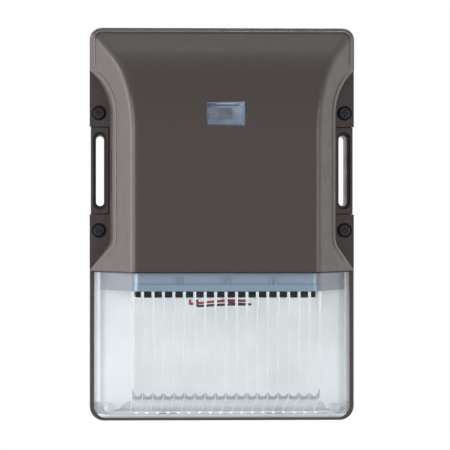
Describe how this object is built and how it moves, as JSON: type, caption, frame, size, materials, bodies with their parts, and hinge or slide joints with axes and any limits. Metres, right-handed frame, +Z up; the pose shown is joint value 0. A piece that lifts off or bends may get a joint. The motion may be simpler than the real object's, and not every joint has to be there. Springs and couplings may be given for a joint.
{
  "type": "wall pack light",
  "caption": "Outdoor wall light: dark bronze cast hood with a photocell window over a clear fluted lens, on a cast back box fixed to a wall and held by captive screws.",
  "frame": {"origin": "middle of the back face, on the wall plane", "axes": "+Y into the wall, the light faces -Y; +Z up; +X to the right as it is looked at"},
  "size_m": [0.172, 0.095, 0.255],
  "materials": {
    "bare_aluminium": "bare cast aluminium, fine grain",
    "black_plastic": "moulded plastic, fine spark texture",
    "black_rubber": "matte rubber",
    "black_screw": "black oxide steel",
    "black_seal": "matte closed-cell seal",
    "black_wire": "PVC insulation",
    "bronze_coat": "dark bronze powder coat, fine grain, satin",
    "bronze_plug": "dark bronze powder coat",
    "capacitor_sleeve": "shrink sleeve",
    "clear_lens": "clear polycarbonate, glossy",
    "copper_winding": "enamelled copper",
    "driver_steel": "plain sheet steel",
    "ferrite_dark": "ferrite with tape",
    "green_board": "green solder mask",
    "green_screw": "green plated ground screw",
    "green_wire": "PVC insulation",
    "grey_foam": "matte foam, open texture",
    "grey_pad": "soft grey thermal pad",
    "grey_window": "translucent grey-blue plastic",
    "led_yellow": "phosphor resin",
    "nylon_ring": "black nylon",
    "orange_plastic": "moulded cap with ribs",
    "red_wire": "PVC insulation",
    "sensor_resin": "dark clear resin",
    "white_board": "white solder mask",
    "white_plastic": "moulded nylon",
    "white_reflector": "satin white coat",
    "white_silicone": "soft translucent silicone",
    "white_wire": "PVC insulation",
    "zinc_steel": "bright zinc plate"
  },
  "bodies": {
    "back_box": {"back_box": "bronze_coat", "cover_gasket": "black_seal", "wall_gasket": "grey_foam", "wire_grommet": "black_rubber", "box_ground_screw": "green_screw", "conduit_plug_left": "bronze_plug", "conduit_plug_right": "bronze_plug", "conduit_plug_bottom": "bronze_plug"},
    "front_cover": {"driver_board": "green_board", "driver_bushings": "black_plastic", "driver_capacitors": "capacitor_sleeve", "driver_case": "driver_steel", "driver_inductor": "copper_winding", "driver_lid": "driver_steel", "driver_screws": "zinc_steel", "driver_transformer": "ferrite_dark", "front_housing": "bronze_coat", "ground_lead_green": "green_wire", "heatsink_screws": "zinc_steel", "housing_ground_screw": "green_screw", "led_board": "white_board", "led_board_screws": "zinc_steel", "led_chips": "led_yellow", "led_connector": "white_plastic", "led_frame": "black_plastic", "led_heatsink": "bare_aluminium", "led_lead_black": "black_wire", "led_lead_red": "red_wire", "lens": "clear_lens", "lens_gasket": "white_silicone", "lens_top_seal": "black_seal", "photocell_board": "green_board", "photocell_holder": "black_plastic", "photocell_leads": "black_wire", "photocell_screws": "zinc_steel", "photocell_sensor": "sensor_resin", "photocell_window": "grey_window", "reflector": "white_reflector", "reflector_screws": "zinc_steel", "shelf_grommet": "black_rubber", "splice_caps": "orange_plastic", "supply_lead_black": "black_wire", "supply_lead_white": "white_wire", "thermal_pad": "grey_pad", "window_seal": "black_seal"},
    "screw_ring_1": {"screw_ring_1": "nylon_ring"},
    "cover_screw_1": {"cover_screw_1": "black_screw"},
    "screw_ring_2": {"screw_ring_2": "nylon_ring"},
    "cover_screw_2": {"cover_screw_2": "black_screw"},
    "screw_ring_3": {"screw_ring_3": "nylon_ring"},
    "cover_screw_3": {"cover_screw_3": "black_screw"},
    "screw_ring_4": {"screw_ring_4": "nylon_ring"},
    "cover_screw_4": {"cover_screw_4": "black_screw"}
  },
  "joints": [
    {"name": "cover_lift_off", "type": "slide", "parent": "back_box", "child": "front_cover", "axis": [0, -1, 0], "range_m": [0, 0.11]},
    {"name": "screw_back_out_1", "type": "slide", "parent": "front_cover", "child": "screw_ring_1", "axis": [0, -1, 0], "range_m": [0, 0.0084]},
    {"name": "screw_turn_1", "type": "hinge", "parent": "screw_ring_1", "child": "cover_screw_1", "pos_m": [-0.0798, -0.034, 0.0723], "axis": [0, -1, 0], "range_deg": [0, 4321]},
    {"name": "screw_back_out_2", "type": "slide", "parent": "front_cover", "child": "screw_ring_2", "axis": [0, -1, 0], "range_m": [0, 0.0084]},
    {"name": "screw_turn_2", "type": "hinge", "parent": "screw_ring_2", "child": "cover_screw_2", "pos_m": [0.0798, -0.034, 0.0723], "axis": [0, -1, 0], "range_deg": [0, 4321]},
    {"name": "screw_back_out_3", "type": "slide", "parent": "front_cover", "child": "screw_ring_3", "axis": [0, -1, 0], "range_m": [0, 0.0084]},
    {"name": "screw_turn_3", "type": "hinge", "parent": "screw_ring_3", "child": "cover_screw_3", "pos_m": [-0.0798, -0.034, -0.0039], "axis": [0, -1, 0], "range_deg": [0, 4321]},
    {"name": "screw_back_out_4", "type": "slide", "parent": "front_cover", "child": "screw_ring_4", "axis": [0, -1, 0], "range_m": [0, 0.0084]},
    {"name": "screw_turn_4", "type": "hinge", "parent": "screw_ring_4", "child": "cover_screw_4", "pos_m": [0.0798, -0.034, -0.0039], "axis": [0, -1, 0], "range_deg": [0, 4321]}
  ],
  "couplings": [
    {"joint": "screw_turn_1", "follows": "screw_back_out_1", "rad_per_m": 8976},
    {"joint": "screw_turn_2", "follows": "screw_back_out_2", "rad_per_m": 8976},
    {"joint": "screw_turn_3", "follows": "screw_back_out_3", "rad_per_m": 8976},
    {"joint": "screw_turn_4", "follows": "screw_back_out_4", "rad_per_m": 8976}
  ]
}
